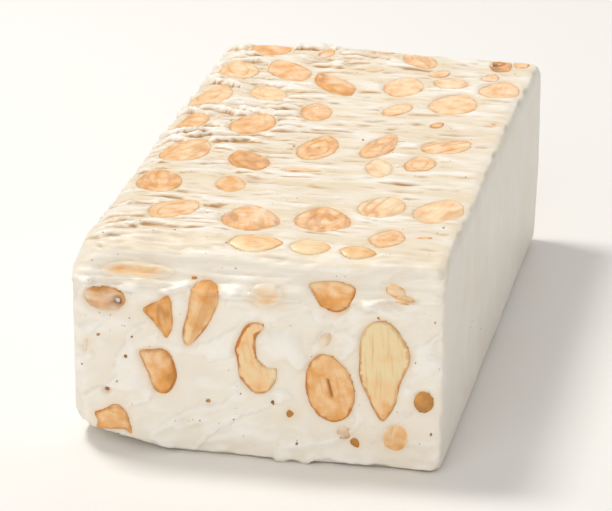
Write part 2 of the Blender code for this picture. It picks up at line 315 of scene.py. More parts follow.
# Brown specks of almond skin that stand out on the front: X, height and size, in mm.
FRONT_SPECKS = (
    (-37.8, 15.8, 1.5),
    (-11.6, 14.5, 1.3),
    (5.2, 15.4, 1.2),
    (11.6, 5.4, 0.9),
    (44.2, 10.8, 1.1),
    (-39.8, 29.8, 1.0),
    (-32.9, 24.8, 1.1),
    (44.4, 39.6, 0.7),
    (-31.5, 29.8, 0.7),
    (-44.0, 22.0, 0.6),
    (-3.0, 17.2, 0.6),
    (-13.5, 9.5, 0.5),
    (30.5, 40.0, 0.6),
)

# Small scattered specks: how many lie on each face, and in mm how far they keep from its edges, and
# the smallest one and how much larger they get.
SPECKS_ON = {"front": 20, "back": 44, "top": 60, "right": 5, "left": 7}
SPECK_MARGIN = 3
SPECK_LEAST, SPECK_MORE = 0.28, 0.6

# Almonds of the underside: how many lie along X and Y, how far apart and how uneven, in mm.
UNDERSIDE_ROWS = (4, 8)
UNDERSIDE_SPACING = (21, 22)
UNDERSIDE_UNEVEN = 0.4


def eased(value, low, high):
    """0 below low, 1 above high, and a smooth rise between them."""
    share = np.clip((value - low) / (high - low), 0, 1)
    return share * share * (3 - 2 * share)


def cloud(points, lump, start=0.0):
    """Smooth noise from about -1 to 1 at each point; lump is how wide its lumps are in mm."""
    spread = points / (np.array(lump) * MM) + start
    return np.array([noise.noise(place) for place in spread.tolist()])


def creased(points, lump, start=0.0):
    """Noise with sharp ridges, 1 on the ridges and about 0 between them."""
    return 1 - np.minimum(1, 2.2 * np.abs(cloud(points, lump, start)))


def depth_under(points, face):
    """How far points of the plain block lie in from one of its faces."""
    axis, way = LOOKS_ALONG[face]
    return HIGH[axis] - points[:, axis] if way > 0 else points[:, axis] - LOW[axis]


def shaped(points):
    """Moves points of the plain block to where they are on the pressed and uneven bar."""
    moved = points.copy()
    for face_a, face_b, reach_a, reach_b, pull_a, pull_b in EASED_EDGES:
        share_a = np.maximum(0, 1 - depth_under(points, face_b) / (reach_b * MM))
        share_b = np.maximum(0, 1 - depth_under(points, face_a) / (reach_a * MM))
        axis_a, way_a = LOOKS_ALONG[face_a]
        axis_b, way_b = LOOKS_ALONG[face_b]
        moved[:, axis_a] -= way_a * pull_a * MM * share_a * share_b
        moved[:, axis_b] -= way_b * pull_b * MM * share_a * share_b**1.6
    drift = np.array([noise.noise_vector(place) for place in (points / WANDER_SPAN).tolist()]) * WANDER
    drift[:, 2] *= np.minimum(1, points[:, 2] / (SIZE[2] / 4))
    moved[:, 0] += SIDE_SWELL * np.sin(math.pi * points[:, 2] / SIZE[2]) * points[:, 0] / HIGH[0]
    return moved + drift


def on_block(face, flat):
    """Points given in mm along a face's two axes, as places on the plain block."""
    axis, way = LOOKS_ALONG[face]
    points = np.empty((len(flat), 3))
    points[:, LIES_ALONG[face]] = np.asarray(flat) * MM
    points[:, axis] = (HIGH if way > 0 else LOW)[axis]
    return points


def outward(face, flat):
    """The way that the shaped surface looks at each of the points of a face."""
    step = 0.3
    first, second = np.array((step, 0)), np.array((0, step))
    along = shaped(on_block(face, flat + first)) - shaped(on_block(face, flat - first))
    up = shaped(on_block(face, flat + second)) - shaped(on_block(face, flat - second))
    normals = np.cross(along, up)
    normals /= np.linalg.norm(normals, axis=1)[:, None]
    axis, way = LOOKS_ALONG[face]
    return normals * np.sign(normals[:, axis] * way)[:, None]


def facing(normals, face):
    """How much each point belongs to a face, from 0 to 1."""
    axis, way = LOOKS_ALONG[face]
    return np.clip(normals[:, axis] * way, 0, 1) ** 2


# The nougat's relief, in mm along its outward way.


def crease_height(points):
    """The height of the wavy crease under the front's shoulder, in mm."""
    row = points * (1, 0, 0)
    plain = SIZE[2] / MM - SHOULDER_DROP
    return plain + 0.2 + 1.8 * cloud(row, (22, 22, 22), 3.7) + 0.9 * cloud(row, (5, 5, 5), 8.1)


def swells(points, normals):
    """Slow rises and falls, which the almonds follow too."""
    broad = 1.1 * cloud(points, (22, 30, 13), 11.3) + 0.4 * cloud(points, (8, 9, 5), 5.9)
    ends = facing(normals, "front") + facing(normals, "back")
    rise = ends * broad + facing(normals, "top") * 0.5 * cloud(points, (34, 16, 30), 2.4)
    above = points[:, 2] / MM - crease_height(points)
    lip = eased(above, -0.5, 0.4) * np.exp(-np.maximum(0, above) / 4)
    strength = 1.5 + 0.7 * cloud(points * (1, 0, 0), (17, 17, 17), 6.6)
    return rise + facing(normals, "front") * lip * strength


def lumps_and_pits(points, normals):
    """The front's pushed-up lumps and small pits."""
    x, z = points[:, 0] / MM, points[:, 2] / MM
    rise = np.zeros(len(points))
    for at_x, at_z, half_width, half_height, height in PUSHED_LUMPS:
        away = ((x - at_x) / half_width) ** 2 + ((z - at_z) / half_height) ** 2
        rise += height * np.exp(-(away**2.2))
    for at_x, at_z, radius, depth in FRONT_PITS:
        away = ((x - at_x) ** 2 + (z - at_z) ** 2) / radius**2
        rise -= depth * np.exp(-(away**2))
    return rise * facing(normals, "front")


def torn_share(points):
    """How torn the top is: the knife tore it where it came in, on the left, and smoothed the right."""
    x, y = points[:, 0] / MM, points[:, 1] / MM
    from_left = eased(4 - x + 20 * cloud(points, (34, 20, 34), 1.9), 0, 36)
    return 0.12 + 0.88 * from_left * (0.3 + 0.7 * eased(y + 14 * cloud(points, (20, 20, 20), 5.2), -30, 0))


def laps(points, spacing, start):
    """Overlapping tongues of nougat, from -0.35 to about 0.4, that fall off steeply towards the front."""
    bend = 1.4 * cloud(points, (40, 13, 40), start) + 0.35 * cloud(points, (9, 6, 9), start + 5.2)
    jagged = 0.2 * cloud(points, (6, 9, 6), start + 3.6)
    jagged += 0.05 * cloud(points, (4.2, 3.0, 4.2), start + 1.1)
    run = (points[:, 1] / MM / spacing + 1.5 * bend + jagged) % 1.0
    return (1 - run) ** 1.5 * eased(run, 0.0, 0.24) * 1.15 - 0.35


def top_drags(points):
    """Marks of the knife drawn along X: low laps and streaks, and on the left deep torn laps."""
    torn = torn_share(points)
    patchy = eased(cloud(points, (24, 7, 24), 7.7), -0.3, 0.15)
    deep = torn * patchy * 2.6 * laps(points, 4.6, 4.2)
    gathered = eased(cloud(points, (18, 5, 18), 2.9), -0.05, 0.3)
    low = (0.5 + 0.8 * torn) * gathered * laps(points, 3.1, 8.5)
    streaks = cloud(points, (26, 2.8, 26), 3.1) * 0.45 + cloud(points, (15, 1.5, 15), 7.3) * 0.32
    streaks *= 0.5 + 0.6 * torn
    folds = 0.55 * cloud(points, (19, 6.5, 19), 12.7) + 0.2 * creased(points, (16, 5, 16), 3.9)
    streaks += (1 - torn) * folds
    ragged = (creased(points, (13, 2.1, 13), 6.2) - 0.3) * (0.18 + torn * 0.85)
    crumbs = cloud(points, (2.8, 1.4, 2.8), 8.8) * (0.08 + 0.2 * torn)
    kept = 0.25 + 0.75 * eased(depth_under(points, "right") / MM, 0.5, 5)
    return (deep + low + streaks + ragged - 0.3 * torn + crumbs) * kept


def end_drags(points, slope):
    """Faint slanting marks and small crumbs on a cut end."""
    x, z = points[:, 0], points[:, 2]
    along, across = math.cos(slope), math.sin(slope)
    slanted = np.stack((x * along + z * across, x * 0, z * along - x * across), axis=1)
    lines = creased(slanted, (19, 19, 2.6), 2.2) * eased(cloud(points, (16, 16, 12), 4.9), -0.1, 0.4)
    crumbs = cloud(points, (1.7, 1.7, 1.3), 1.3) * 0.15 + cloud(points, (4.0, 4.0, 2.2), 7.1) * 0.3
    edge = cloud(slanted, (15, 15, 6), 3.3) + 0.12 * cloud(points, (2, 2, 2), 9.2)
    lifted = 0.7 * eased(edge, 0.02, 0.10) * eased(-edge, -0.45, -0.1)
    wrinkles = 0.35 * creased(points, (9, 9, 5), 12.4) * eased(cloud(points, (12, 12, 12), 6.1), 0, 0.3)
    return 0.45 * lines + lifted + wrinkles + crumbs


def shoulder_tears(points):
    """The front's shoulder: level drags, ragged where it breaks off at the crease."""
    above = points[:, 2] / MM - crease_height(points)
    band = eased(above, -0.5, 1.5)
    drags = cloud(points, (22, 22, 1.5), 3.3) * 0.6 * band
    near_crease = np.exp(-((above / 2.3) ** 2))
    ragged = (creased(points, (6, 6, 2.2), 5.5) - 0.4) * 2.0 * near_crease
    return drags + ragged * eased(cloud(points * (1, 0, 0), (13, 13, 13), 2.8), -0.4, 0.15)


def mould_marks(points):
    """Shallow upright ripples on the moulded sides."""
    return 0.04 * cloud(points, (30, 4.3, 40), 5.2) + 0.25 * cloud(points, (30, 17, 26), 1.1)


def edge_nicks(points, normals):
    """Small losses along the bar's edges, deepest where three faces or two meet at a sharp edge."""
    sharp = eased(1 - np.abs(normals).max(axis=1), 0.06, 0.25)
    chips = 0.8 * np.maximum(0, cloud(points, (7, 7, 7), 6.4)) + 0.15 * cloud(points, (2.2, 2.2, 2.2))
    return -sharp * (0.1 + chips)


def fine_relief(points, normals):
    """All marks that the almonds don't follow."""
    rise = lumps_and_pits(points, normals)
    rise += facing(normals, "top") * top_drags(points)
    below = 1 - 0.7 * eased(points[:, 2] / MM - crease_height(points), -0.5, 1.5)
    front = end_drags(points, FRONT_KNIFE) * below + shoulder_tears(points)
    rise += facing(normals, "front") * front + facing(normals, "back") * end_drags(points, BACK_KNIFE)
    rise += (facing(normals, "left") + facing(normals, "right")) * mould_marks(points)
    return rise + edge_nicks(points, normals)


def corner_breaks():
    """Each break of the corner, as a place on it and the way it looks."""
    for ends in CORNER_BREAKS:
        a, b, c = (LOW + np.array(end) * MM for end in ends)
        away = np.cross(c - a, b - a)
        yield a, away / np.linalg.norm(away)


def broken_corner(points):
    """Pushes everything past the breaks back onto them, with a rough broken face."""
    rough = (0.5 + 0.8 * cloud(points, (4, 4, 4), 2.1) + 0.3 * cloud(points, (1.4, 1.4, 1.4), 4.1)) * MM
    moved = points.copy()
    for place, away in corner_breaks():
        past = (moved - place) @ away
        back = np.where(past > 0, past + np.maximum(0, rough) * np.clip(past / MM, 0, 1), 0)
        moved -= np.outer(back, away)
    return moved


# Almond outlines.


def from_outline(outline, points):
    """How far points are from a closed outline, less than 0 inside it, and the nearest places on it."""
    start, end = outline, np.roll(outline, -1, axis=0)
    side = end - start
    reach = points[:, None] - start
    share = np.clip((reach * side).sum(2) / (side * side).sum(1), 0, 1)
    nearest = start + share[..., None] * side
    gaps = np.linalg.norm(points[:, None] - nearest, axis=2)
    pick = gaps.argmin(axis=1)
    rows = np.arange(len(points))
    spans = (start[:, 1] > points[:, None, 1]) != (end[:, 1] > points[:, None, 1])
    rise = np.where(side[:, 1] == 0, 1, side[:, 1])
    crossing = start[:, 0] + (points[:, None, 1] - start[:, 1]) / rise * side[:, 0]
    inside = (spans & (points[:, None, 0] < crossing)).sum(axis=1) % 2 == 1
    return np.where(inside, -1, 1) * gaps[rows, pick], nearest[rows, pick]


def evenly(outline):
    """The same closed outline as a smooth curve, with points at even spacing."""
    before, after, beyond = (np.roll(outline, shift, axis=0) for shift in (1, -1, -2))
    curve = []
    for share in np.arange(0, 1, 0.1):
        curve.append(
            outline
            + 0.5 * share * (after - before)
            + share**2 * (before - 2.5 * outline + 2 * after - 0.5 * beyond)
            + share**3 * (1.5 * (outline - after) + 0.5 * (beyond - before))
        )
    curve = np.stack(curve, axis=1).reshape(-1, 2)
    closed = np.vstack((curve, curve[:1]))
    run = np.concatenate(([0], np.linalg.norm(np.diff(closed, axis=0), axis=1).cumsum()))
    count = max(18, round(run[-1] / RIM_SPACING))
    stops = np.arange(count) / count * run[-1]
    return np.stack([np.interp(stops, run, closed[:, k]) for k in range(2)], axis=1)


def edge_ways(outline):
    """The way out of an anticlockwise outline at each of its points."""
    along = np.roll(outline, -1, axis=0) - np.roll(outline, 1, axis=0)
    ways = np.stack((along[:, 1], -along[:, 0]), axis=1)
    return ways / np.linalg.norm(ways, axis=1)[:, None]


def pointed(outline, share):
    """Draws an outline in next to its two ends, so that they come to a point."""
    middle, ways, (half_length, _) = long_axis(outline)
    u, v = ((outline - middle) @ ways).T
    narrowed = v * (1 - share * np.abs(u / half_length) ** 2.5)
    return middle + np.stack((u * (1 + 0.12 * share), narrowed), axis=1) @ ways.T


def roughened(outline, amount, start):
    """An outline made a little uneven, as the knife and the roasting leave it."""
    places = np.column_stack((outline, np.full(len(outline), start))) * MM
    uneven = 0.7 * cloud(places, (4.5, 4.5, 1)) + 0.3 * cloud(places, (1.6, 1.6, 1))
    return outline + edge_ways(outline) * (amount * uneven)[:, None]


def laid_flat(points, face):
    """Where points of the bar's surface lie on the plain block's face, in mm along its two axes."""
    axes = LIES_ALONG[face]
    flat = points[:, axes] / MM
    for _ in range(8):
        flat -= (shaped(on_block(face, flat))[:, axes] - points[:, axes]) / MM
    return flat


def anticlockwise(outline):
    """The same outline, turned round if it runs clockwise in its face's two axes."""
    x, y = outline.T
    area = (x * np.roll(y, -1) - np.roll(x, -1) * y).sum()
    return outline if area > 0 else outline[::-1]


def packed_outline(node, face):
    """The outline of an almond's cut face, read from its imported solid, anticlockwise in its face's axes."""
    axis, way = LOOKS_ALONG[face]
    solid = bmesh.new()
    solid.from_mesh(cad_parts[node].data)
    bmesh.ops.remove_doubles(solid, verts=solid.verts, dist=0.01 * MM)
    solid.normal_update()
    cap = {side for side in solid.faces if side.normal[axis] * way > 0.6}
    joins = {}
    for edge in solid.edges:
        if sum(side in cap for side in edge.link_faces) == 1:
            a, b = (tuple(vert.co) for vert in edge.verts)
            joins.setdefault(a, []).append(b)
            joins.setdefault(b, []).append(a)
    solid.free()
    place = min(joins)
    walk = [place]
    before = None
    while len(walk) < len(joins):
        step = [other for other in joins[place] if other != before and other not in walk[1:]][0]
        before, place = place, step
        walk.append(place)
    return anticlockwise(laid_flat(np.array(walk), face))


def oval(at, length, width, turn):
    """An oval outline, anticlockwise, with a slightly pointed tip; lengths in mm, turn in degrees."""
    angles = np.arange(0, math.tau, math.tau / 16)
    along = length / 2 * np.cos(angles)
    across = width / 2 * np.sin(angles) * (1 - 0.22 * np.cos(angles))
    turn = math.radians(turn)
    return np.stack(
        (
            at[0] + along * math.cos(turn) - across * math.sin(turn),
            at[1] + along * math.sin(turn) + across * math.cos(turn),
        ),
        axis=1,
    )


# Almond pieces.


def long_axis(outline):
    """The middle of an outline, the ways along and across it as columns, and half its length and width."""
    middle = outline.mean(axis=0)
    along = np.linalg.eigh(np.cov((outline - middle).T))[1][:, 1]
    ways = np.stack((along, (-along[1], along[0])), axis=1)
    return middle, ways, np.abs((outline - middle) @ ways).max(axis=0)


def triangles_over(outline):
    """Triangles over an outline: its own points come first, then a grid of points inside it."""
    low, high = outline.min(axis=0), outline.max(axis=0)
    rows = np.arange(low[1], high[1], FACE_SPACING * 0.87)
    places = [
        (x + FACE_SPACING / 2 * (row % 2), y)
        for row, y in enumerate(rows)
        for x in np.arange(low[0], high[0], FACE_SPACING)
    ]
    places = np.array(places)
    gaps, _ = from_outline(outline, places)
    points = np.vstack((outline, places[gaps < -0.5 * FACE_SPACING]))
    rim = [(k, (k + 1) % len(outline)) for k in range(len(outline))]
    corners = [Vector(point) for point in points]
    verts, _, faces, *_ = geometry.delaunay_2d_cdt(corners, rim, [], 1, 1e-6)
    return np.array([tuple(vert) for vert in verts]), [tuple(face) for face in faces]


def cut_face_rise(flat, gaps, look, outline):
    """Height of an almond's cut face over the nougat, and the painted shade in its grooves, slit and dents,
    in mm and 0 to 1.
    """
    middle, ways, (half_length, half_width) = long_axis(outline)
    u, v = ((flat - middle) @ ways).T
    places = np.stack((u, v, np.full(len(u), outline[0, 0])), axis=1) * MM
    inward = -gaps
    crown = 1 - (1 - np.clip(inward / (0.8 * half_width), 0, 1)) ** 2
    rise = look["rise"] + look["dome"] * crown - (0.07 - 0.07 * look["buried"]) * np.exp(-inward / 0.35)
    rise += 0.05 * cloud(places, (3.5, 1.6, 1)) + 0.02 * cloud(places, (1.2, 0.8, 1), 5.3)
    # Painted shade in the grooves of rings and furrows, in the slit and in dents.
    recess_shade = np.zeros(len(flat))
    ring = np.zeros(len(flat))
    if look["rings"]:
        wavy = inward / (0.48 * half_width) + 0.5 * cloud(places, (7, 4, 1), 2.6)
        ring = eased(np.cos(math.tau * wavy), 0.7, 1.0) * eased(inward, 0.5, 1.1)
        ring *= eased(cloud(places, (5, 3, 1), 8.6), -0.25, 0.2)
        rise -= look["rings"] * ring
    if look["furrows"]:
        furrow = eased(creased(places, (15, 3.2, 1), 7.9), 0.5, 1.0) * eased(inward, 0.3, 0.9)
        rise -= look["furrows"] * furrow
        recess_shade += 0.4 * furrow * min(1, look["furrows"] / 0.3)
    recess_shade += 0.35 * ring * min(1, look["rings"] / 0.2)
    if look["slit"]:
        slit = np.exp(-((v / 0.32) ** 2)) * eased(0.32 * half_length - np.abs(u), 0, 1)
        rise -= look["slit"] * slit
        recess_shade += 0.9 * slit
    for off_a, off_b, radius, depth in look["dents"]:
        away = ((flat - middle - (off_a, off_b)) ** 2).sum(axis=1) / radius**2
        dent = np.exp(-(away**1.5))
        rise -= depth * dent
        recess_shade += 1.1 * dent
    return rise, np.clip(recess_shade, 0, 1), np.stack((u, v), axis=1)


def inlay(face, outline, look, veiled=False):
    """One almond set into a face: points, polygons and the values that its material reads.

    A veiled one lies under the nougat at its rim and follows all of the nougat's marks.
    """
    outline = outline + edge_ways(outline) * SEAM_LAP
    flat, polygons = triangles_over(outline)
    gaps, _ = from_outline(outline, flat)
    gaps = np.minimum(0, gaps)
    count = len(outline)
    gaps[:count] = 0
    rise, recess_shade, grain = cut_face_rise(flat, gaps, look, outline)
    plain = on_block(face, flat)
    ways = outward(face, flat)
    if veiled:
        rise += fine_relief(plain, ways) - VEILED_RIM * np.exp(gaps / 0.5)
    base = shaped(plain)
    points = base + ways * ((swells(plain, ways) + rise) * MM)[:, None]
    middle, _, (half_length, half_width) = long_axis(outline)
    lean = (flat - middle) @ np.array(look["lean"]) / half_length
    film = look["film"] + look["buried"] * (1 - eased(-gaps, 0.3, 0.75 * half_width))
    off = (flat - middle) / (0.3 + np.linalg.norm(flat - middle, axis=1))[:, None]
    rim_shade = look["rim"] * np.clip(1 + off @ np.array(look["rim_side"]), 0, 1.6)
    rings = [list(range(count))]
    verts = [points]
    for inset, depth in ALMOND_FOOT:
        foot = outline - edge_ways(outline) * inset * half_width
        foot_ways = outward(face, foot)
        foot_plain = on_block(face, foot)
        lift = swells(foot_plain, foot_ways) - depth
        if veiled:
            lift += fine_relief(foot_plain, foot_ways) - VEILED_RIM
        foot_points = shaped(foot_plain) + foot_ways * (lift * MM)[:, None]
        rings.append([sum(map(len, verts)) + k for k in range(count)])
        verts.append(foot_points)
    for upper, lower in zip(rings, rings[1:]):
        for k in range(count):
            polygons.append((upper[k], lower[k], lower[(k + 1) % count], upper[(k + 1) % count]))
    polygons.append(tuple(rings[-1]))
    hidden = count * (len(rings) - 1)
    seed = sum(map(abs, outline[0]))
    values = {
        "tone": np.append(look["tone"] + lean, np.full(hidden, 0.8)),
        "film": np.append(film, np.zeros(hidden)),
        "from_rim": np.append(-gaps, np.zeros(hidden)),
        "rim_shade": np.append(rim_shade, np.full(hidden, look["rim"])),
        "hollow": np.append(recess_shade, np.full(hidden, 0.3)),
        "along": np.append(grain[:, 0] + 7 * seed, np.zeros(hidden)),
        "across": np.append(grain[:, 1] + 3 * seed, np.zeros(hidden)),
    }
    return np.vstack(verts), polygons, values


def made_piece(name, parts, material):
    """Joins parts into one named piece that rides on the bar; each is (points, polygons, values)."""
    points, polygons = [], []
    values = {}
    for part_points, part_polygons, part_values in parts:
        shift = sum(map(len, points))
        points.append(part_points)
        polygons += [tuple(corner + shift for corner in polygon) for polygon in part_polygons]
        for key, value in part_values.items():
            values.setdefault(key, []).append(value)
    data = bpy.data.meshes.new(name)
    data.from_pydata(np.vstack(points).tolist(), [], polygons)
    for key, value in values.items():
        layer = data.attributes.new(key, "FLOAT", "POINT")
        layer.data.foreach_set("value", np.concatenate(value).astype(np.float32))
    solid = bmesh.new()
    solid.from_mesh(data)
    bmesh.ops.recalc_face_normals(solid, faces=solid.faces)
    solid.to_mesh(data)
    solid.free()
    data.shade_smooth()
    data.materials.append(material)
    piece = bpy.data.objects.new(name, data)
    bpy.context.scene.collection.objects.link(piece)
    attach(piece, "root")
    return piece


# The nougat's skin.


def cell_loops(face):
    """Loops of lattice points round each cell of a face, with the finer neighbour's points on its edges."""
    fixed, way = LOOKS_ALONG[face]
    first, second = LIES_ALONG[face]
    step = STEPS[face]
    ends = {
        (axis, end): min(step, STEPS[FACE_AT[axis, end]]) for axis in (first, second) for end in (-1, 1)
    }
    level = COUNTS[fixed] if way > 0 else 0
    turned = (way > 0) == (fixed == 1)
    for i in range(0, COUNTS[first], step):
        for j in range(0, COUNTS[second], step):
            near = ends[second, -1] if j == 0 else step
            right = ends[first, 1] if i + step == COUNTS[first] else step
            far = ends[second, 1] if j + step == COUNTS[second] else step
            left = ends[first, -1] if i == 0 else step
            loop = [(a, j) for a in range(i, i + step, near)]
            loop += [(i + step, b) for b in range(j, j + step, right)]
            loop += [(a, j + step) for a in range(i + step, i, -far)]
            loop += [(i, b) for b in range(j + step, j, -left)]
            if turned:
                loop.reverse()
            cell = []
            for a, b in loop:
                place = [0, 0, 0]
                place[fixed], place[first], place[second] = level, a, b
                cell.append(tuple(place))
            yield cell


def skin_lattice():
    """The plain block's surface as lattice points and polygons."""
    numbers = {}
    polygons = []
    for face in LOOKS_ALONG:
        for cell in cell_loops(face):
            polygons.append([numbers.setdefault(place, len(numbers)) for place in cell])
    return np.array(list(numbers)), polygons


def fitted_to_seams(lattice, outlines):
    """Slips the points next to each almond onto its seam; also how far each is from the nearest almond."""
    plain = LOW + lattice * SIZE / COUNTS
    gap = np.full(len(plain), 50.0)
    seam_rise = np.zeros(len(plain))
    moved = plain.copy()
    for face, outline, rise in outlines:
        axis, way = LOOKS_ALONG[face]
        axes = LIES_ALONG[face]
        level = COUNTS[axis] if way > 0 else 0
        inner = lattice[:, axis] == level
        for other in axes:
            inner &= (lattice[:, other] > 0) & (lattice[:, other] < COUNTS[other])
        flat = plain[:, axes] / MM
        near = (flat > outline.min(axis=0) - 6).all(axis=1) & (flat < outline.max(axis=0) + 6).all(axis=1)
        picked = np.flatnonzero(inner & near)
        gaps, nearest = from_outline(outline, flat[picked])
        closer = np.abs(gaps) < np.abs(gap[picked])
        picked, gaps, nearest = picked[closer], gaps[closer], nearest[closer]
        gap[picked] = gaps
        seam_rise[picked] = rise
        moved[picked] = plain[picked]
        slip = np.abs(gaps) < SEAM_REACH
        moved[np.ix_(picked[slip], axes)] = nearest[slip] * MM
        gap[picked[slip]] = 0
    return moved, gap, seam_rise


def nougat_skin(outlines, veiled_outlines, material):
    """The whole nougat body, with its marks, its seams round the almonds and its broken corner."""
    lattice, polygons = skin_lattice()
    plain, gap, seam_rise = fitted_to_seams(lattice, outlines)
    _, veiled_gap, _ = fitted_to_seams(lattice, [(face, line, 0) for face, line in veiled_outlines])
    base = shaped(plain)
    data = bpy.data.meshes.new("nougat_skin")
    data.from_pydata(base.tolist(), [], polygons)
    ways = np.empty(len(base) * 3, dtype=np.float32)
    data.vertex_normals.foreach_get("vector", ways)
    ways = ways.reshape(-1, 3).astype(float)
    slow = swells(plain, ways)
    marks = fine_relief(plain, ways)
    clear = eased(gap, 0.0, DRAG_FADE)
    climb = fine_relief(plain + (0, WALL_STEP, 0), ways) - marks
    seam = np.exp(-np.maximum(0, gap) / 0.7)
    rise = slow + marks * clear + seam * (seam_rise - SEAM_DIP)
    rise -= np.clip(-gap * 4, 0, UNDER_ALMOND)
    points = base + ways * (rise * MM)[:, None]
    points = broken_corner(points)
    under = lattice[:, 2] == 0
    points[:, 2] = np.maximum(points[:, 2], np.where(under, 0, 0.02 * MM))
    sides = facing(ways, "left") + facing(ways, "right")
    tops = facing(ways, "top")
    # The steep walls at the foot of each lap, which face the front, get painted shade.
    shaded_walls = eased(climb * clear, 0.2, 0.8) * tops
    level = under & (np.abs(points[:, 2]) < 0.5 * MM)
    points[level, 2] = 0
    values = {
        "moulded": sides + facing(ways, "bottom"),
        "dragged": tops,
        # Honey tint and painted shade in the torn hollows and on the walls under the laps.
        "hollow": np.maximum(shaded_walls, eased(-marks * clear, 0.1, 1.1) * (tops + 0.4 * facing(ways, "front"))),
        "oiled": np.exp(-np.maximum(0, np.minimum(gap, veiled_gap + 0.4)) / 0.9),
        # Raised crests are whitened: partly aerated nougat, partly a painted highlight.
        "crest_white_and_highlight": eased(marks * clear, 0.15, 0.75) * (tops + 0.7 * facing(ways, "front")) * (1 - shaded_walls),
    }
    bpy.data.meshes.remove(data)
    return made_piece("nougat_skin", [(points, polygons, values)], material)


# Specks.


def speck(face, at, size, seed):
    """One brown speck of almond skin: a flattened uneven grain, half sunk into the surface."""
    grain = bmesh.new()
    bmesh.ops.create_icosphere(grain, subdivisions=2, radius=0.5)
    draw = random.Random(seed)
    turn = draw.uniform(0, math.tau)
    stretch = draw.uniform(0.55, 1.0)
    places = np.array([tuple(vert.co) for vert in grain.verts])
    polygons = [tuple(vert.index for vert in side.verts) for side in grain.faces]
    grain.free()
    uneven = 1 + 0.35 * cloud(places * MM, (0.45, 0.45, 0.45), seed * 1.7)
    places = places * uneven[:, None] * (size, size * stretch, 0.5 * size)
    across = places[:, 0] * math.cos(turn) - places[:, 1] * math.sin(turn)
    up = places[:, 0] * math.sin(turn) + places[:, 1] * math.cos(turn)
    flat = np.stack((across, up), axis=1) + at
    plain = on_block(face, flat)
    ways = outward(face, flat)
    rise = swells(plain, ways) + fine_relief(plain, ways)
    rise = rise.mean() + places[:, 2] - 0.06 * size
    points = shaped(plain) + ways * (rise * MM)[:, None]
    return points, polygons, {"tone": np.full(len(points), draw.random())}


def brown_specks(material, taken):
    """All the specks, joined: those that stand out on the front, and scattered small ones."""
    parts = []
    for number, (x, z, size) in enumerate(FRONT_SPECKS):
        parts.append(speck("front", (x, z), size, number))
    draw = random.Random(20)
    for face, count in SPECKS_ON.items():
        low, high = (end[LIES_ALONG[face]] / MM for end in (LOW, HIGH))
        lines = [outline for kind, outline in taken if kind == face]
        placed = 0
        while placed < count:
            at = np.array([draw.uniform(a + SPECK_MARGIN, b - SPECK_MARGIN) for a, b in zip(low, high)])
            size = SPECK_LEAST + SPECK_MORE * draw.random() ** 3
            place = on_block(face, at[None])[0]
            kept = all((place - broken) @ away < -MM for broken, away in corner_breaks())
            if kept and all(from_outline(outline, at[None])[0][0] > size for outline in lines):
                parts.append(speck(face, at, size, 100 + len(parts)))
                placed += 1
    return made_piece("brown_specks", parts, material)


# Materials.


def linear(hex_colour):
    """A colour written as sRGB hex, as linear red, green, blue and alpha."""
    parts = [int(hex_colour[k : k + 2], 16) / 255 for k in (1, 3, 5)]
    return (*(p / 12.92 if p <= 0.04045 else ((p + 0.055) / 1.055) ** 2.4 for p in parts), 1.0)


def add_node(tree, kind, inputs=None, **settings):
    """Adds a node: settings are its own properties, inputs are values or the sockets linked to it."""
    made = tree.nodes.new(kind)
    for name, value in settings.items():
        setattr(made, name, value)
    for name, value in (inputs or {}).items():
        if isinstance(value, bpy.types.NodeSocket):
            tree.links.new(value, made.inputs[name])
        else:
            made.inputs[name].default_value = value
    return made.outputs


# Sockets of a colour Mix node: its factor, its two colours and its result.
FACTOR, FIRST, SECOND, MIXED = 0, 6, 7, 2


def cloudy_patterns(tree, place, unit, table):
    """Patterns by name. Each row has its name, its sizes along the three axes in the given unit, its
    settings, the values between which it sets in, and what it gives at those two."""
    made = {}
    for name, sizes, settings, (begin, end), (least, most) in table:
        scale = [1 / (size * unit) for size in sizes]
        laid = add_node(tree, "ShaderNodeMapping", {"Vector": place, "Scale": scale})[0]
        cloudy = add_node(tree, "ShaderNodeTexNoise", {"Vector": laid, "Scale": 1, **settings})["Fac"]
        sets_in = {"Value": cloudy, "From Min": begin, "From Max": end, "To Min": least, "To Max": most}
        made[name] = add_node(tree, "ShaderNodeMapRange", sets_in)[0]
    return made


def laid_over(tree, colour, layers):
    """Lays colours over a first one. Each layer has the value that it follows, from where to where it
    sets in, how much it covers then, and its colour."""
    for value, begin, end, most, shade in layers:
        sets_in = {"Value": value, "From Min": begin, "From Max": end, "To Max": most}
        share = add_node(tree, "ShaderNodeMapRange", sets_in)[0]
        mixed = {FACTOR: share, FIRST: colour, SECOND: linear(shade)}
        colour = add_node(tree, "ShaderNodeMix", mixed, data_type="RGBA")[MIXED]
    return colour


def finished(tree, shader, colour, rough, parts, strength, depth):
    """Gives a shader its colour and roughness, and a bump stacked up from parts and their heights."""
    raised = 0.0
    for part, height in parts:
        stacked = {0: part, 1: height, 2: raised}
        raised = add_node(tree, "ShaderNodeMath", stacked, operation="MULTIPLY_ADD")[0]
    bump = add_node(tree, "ShaderNodeBump", {"Height": raised, "Strength": strength, "Distance": depth})[0]
    tree.links.new(colour, shader.inputs["Base Color"])
    tree.links.new(bump, shader.inputs["Normal"])
    if isinstance(rough, bpy.types.NodeSocket):
        tree.links.new(rough, shader.inputs["Roughness"])
    else:
        shader.inputs["Roughness"].default_value = rough


def fresh_material(name, plain):
    """A material with these plain values on its Principled shader; also its node tree and that shader."""
    material = bpy.data.materials.new(name)
    material.use_nodes = True
    shader = material.node_tree.nodes["Principled BSDF"]
    for socket, value in plain.items():
        shader.inputs[socket].default_value = value
    return material, material.node_tree, shader


